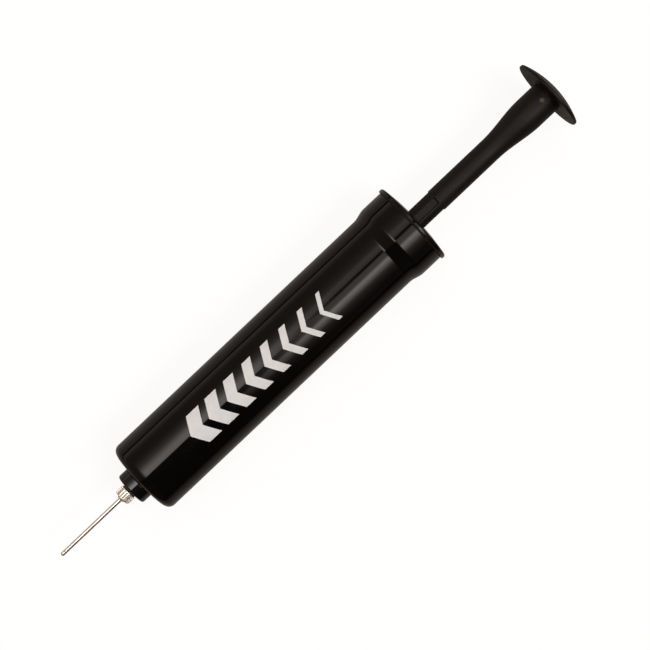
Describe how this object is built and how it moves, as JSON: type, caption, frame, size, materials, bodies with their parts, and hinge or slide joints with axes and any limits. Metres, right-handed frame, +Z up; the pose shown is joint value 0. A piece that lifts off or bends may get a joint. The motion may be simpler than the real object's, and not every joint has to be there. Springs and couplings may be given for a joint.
{
  "type": "ball pump",
  "caption": "Slim hand pump for sports balls: a round barrel, a plunger with a domed palm disc, and a screw-in inflation needle, lying with the plunger partly drawn.",
  "frame": {"origin": "on the surface the pump lies on, under the middle of its bounding box", "axes": "+X along the pump's axis towards the handle, so the needle points to -X; +Z up"},
  "size_m": [0.2982, 0.0406, 0.0406],
  "materials": {
    "barrel_plastic": "high gloss",
    "cap_plastic": "high gloss",
    "rod_plastic": "satin",
    "handle_plastic": "satin",
    "nut_plastic": "high gloss",
    "guide_plastic": "natural acetal",
    "piston_plastic": "satin",
    "ring_rubber": "matte",
    "seal_rubber": "matte",
    "screw_steel": "zinc plated",
    "spring_steel": "drawn wire",
    "pin_steel": "dull, oil blackened",
    "socket_brass": "turned",
    "hub_nickel": "nickel plated, knurled",
    "needle_nickel": "nickel plated, polished"
  },
  "bodies": {
    "barrel": {"barrel": "barrel_plastic", "top_cap": "cap_plastic", "cap_gasket": "seal_rubber", "rod_guide_bush": "guide_plastic", "nozzle_nut": "nut_plastic", "needle_socket": "socket_brass", "socket_seal": "seal_rubber", "check_valve_spring": "spring_steel"},
    "piston": {"piston_head": "piston_plastic", "piston_bumper": "seal_rubber"},
    "piston_ring": {"piston_ring": "ring_rubber"},
    "plunger": {"plunger_rod": "rod_plastic", "handle_disc": "handle_plastic", "handle_pin": "pin_steel", "piston_washer": "screw_steel", "piston_screw": "screw_steel"},
    "check_valve": {"check_valve_disc": "seal_rubber"},
    "needle_seal": {"needle_seal": "seal_rubber"},
    "needle": {"needle_hub": "hub_nickel", "needle_tube": "needle_nickel"}
  },
  "joints": [
    {"name": "plunger_stroke", "type": "slide", "parent": "barrel", "child": "piston", "axis": [1, 0, 0], "range_m": [-0.048, 0.0818]},
    {"name": "plunger_turn", "type": "hinge", "parent": "piston", "child": "plunger", "pos_m": [-0.041, 0, 0.0203], "axis": [1, 0, 0], "continuous": true},
    {"name": "ring_float", "type": "slide", "parent": "piston", "child": "piston_ring", "axis": [1, 0, 0], "range_m": [0, 0.00075]},
    {"name": "valve_lift", "type": "slide", "parent": "barrel", "child": "check_valve", "axis": [-1, 0, 0], "range_m": [0, 0.0008], "stiffness_N_per_m": 10, "springref_m": -0.001, "deforming": ["check_valve_spring"]},
    {"name": "needle_travel", "type": "slide", "parent": "barrel", "child": "needle_seal", "axis": [-1, 0, 0], "range_m": [0, 0.0048]},
    {"name": "needle_turn", "type": "hinge", "parent": "needle_seal", "child": "needle", "pos_m": [-0.111, 0, 0.0203], "axis": [-1, 0, 0], "range_deg": [0, 2160]}
  ],
  "couplings": [
    {"joint": "needle_turn", "follows": "needle_travel", "rad_per_m": 7854}
  ]
}
